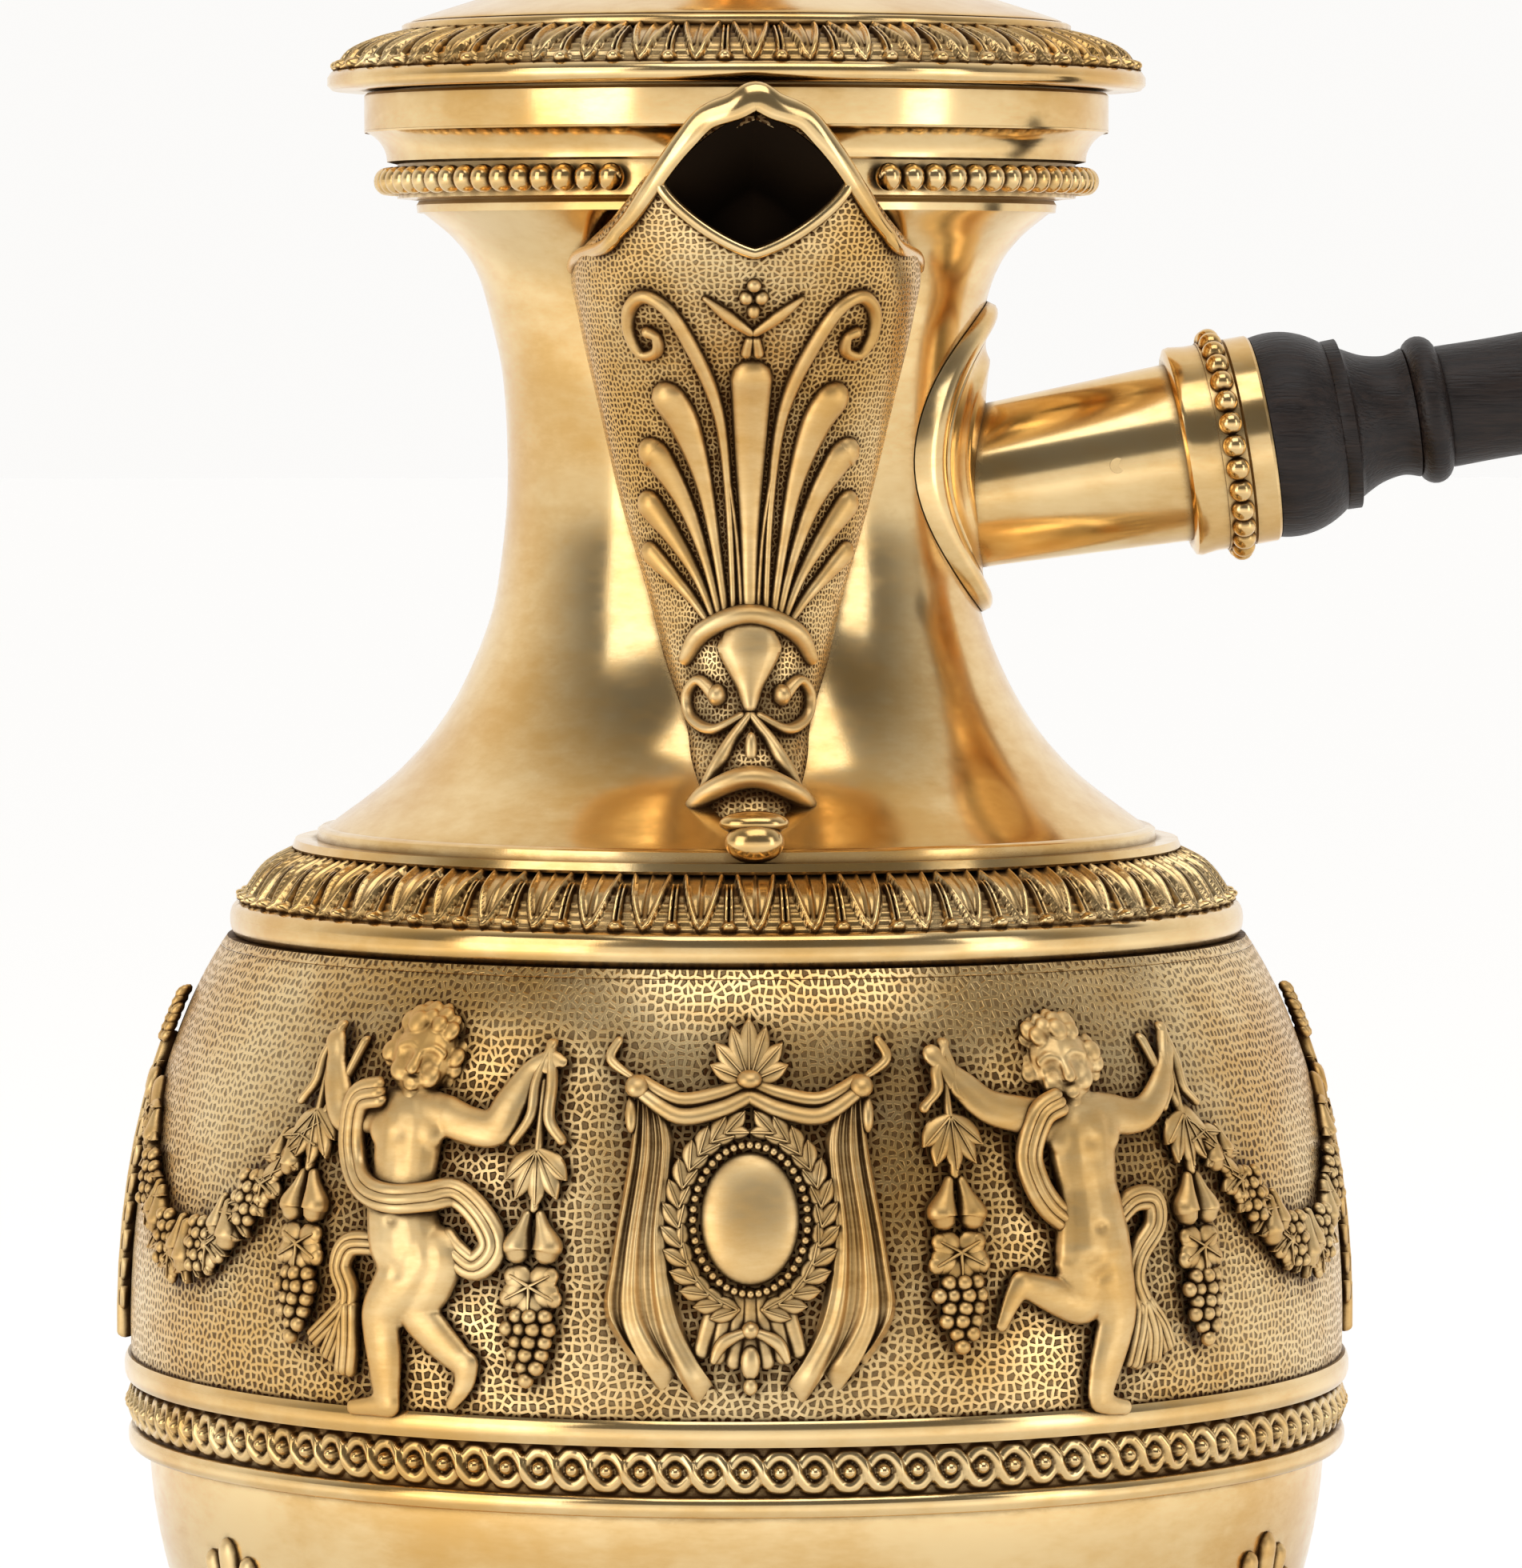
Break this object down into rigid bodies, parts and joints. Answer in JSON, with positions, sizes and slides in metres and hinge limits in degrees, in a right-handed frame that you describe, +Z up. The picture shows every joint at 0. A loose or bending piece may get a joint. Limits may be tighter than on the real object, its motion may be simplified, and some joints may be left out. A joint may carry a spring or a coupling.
{
  "type": "coffee pot",
  "caption": "Three-legged silver-gilt coffee pot with beak spout, ebony side handle, hinged lid and applied figure frieze.",
  "frame": {"origin": "on the pot's axis at table level, between the three feet", "axes": "+Z up, spout along -Y, handle along +X, lid hinge at +Y"},
  "size_m": [0.2195, 0.1365, 0.3203],
  "materials": {
    "polished_gilt": "polished silver-gilt with brown patina in the recesses",
    "matted_gilt": "gilt ground punched all over with small round dimples",
    "satin_gilt": "cast and chased gilt, satin",
    "ebony": "turned ebony, waxed, fine open grain"
  },
  "bodies": {
    "pot": {"body_lower": "polished_gilt", "body_upper": "matted_gilt", "collar": "polished_gilt", "collar_bead_ring": "polished_gilt", "fruit_drops": "satin_gilt", "guilloche_band": "polished_gilt", "handle_escutcheon": "polished_gilt", "handle_ferrule": "polished_gilt", "handle_grip": "ebony", "handle_pin": "polished_gilt", "handle_socket": "polished_gilt", "hinge_bracket": "polished_gilt", "hinge_pin": "polished_gilt", "leg_back": "satin_gilt", "leg_left": "satin_gilt", "leg_palmette_back": "satin_gilt", "leg_palmette_left": "satin_gilt", "leg_palmette_right": "satin_gilt", "leg_right": "satin_gilt", "lower_fillet": "polished_gilt", "neck": "polished_gilt", "neck_foot_ring": "polished_gilt", "putto_dancing_back": "satin_gilt", "putto_dancing_front": "satin_gilt", "putto_striding_back": "satin_gilt", "putto_striding_front": "satin_gilt", "shield_back": "satin_gilt", "shield_front": "satin_gilt", "shoulder_leaf_border": "polished_gilt", "shoulder_rim": "polished_gilt", "socket_bead_ring": "polished_gilt", "socket_collar": "polished_gilt", "spout": "matted_gilt", "spout_anthemion": "satin_gilt", "spout_drop": "polished_gilt", "staff_left": "satin_gilt", "staff_right": "satin_gilt", "swags": "satin_gilt", "upper_fillet": "polished_gilt"},
    "lid": {"finial_base": "polished_gilt", "finial_bud": "polished_gilt", "finial_nut": "polished_gilt", "finial_stud": "polished_gilt", "finial_washer": "polished_gilt", "lid_bezel": "polished_gilt", "lid_dome": "polished_gilt", "lid_fillet_ring": "polished_gilt", "lid_hinge_leaf": "polished_gilt", "lid_leaf_border": "polished_gilt", "lid_lip": "polished_gilt"}
  },
  "joints": [
    {"name": "lid_hinge", "type": "hinge", "parent": "pot", "child": "lid", "pos_m": [0, 0.0456, 0.2633], "axis": [-1, 0, 0], "range_deg": [0, 105]}
  ]
}
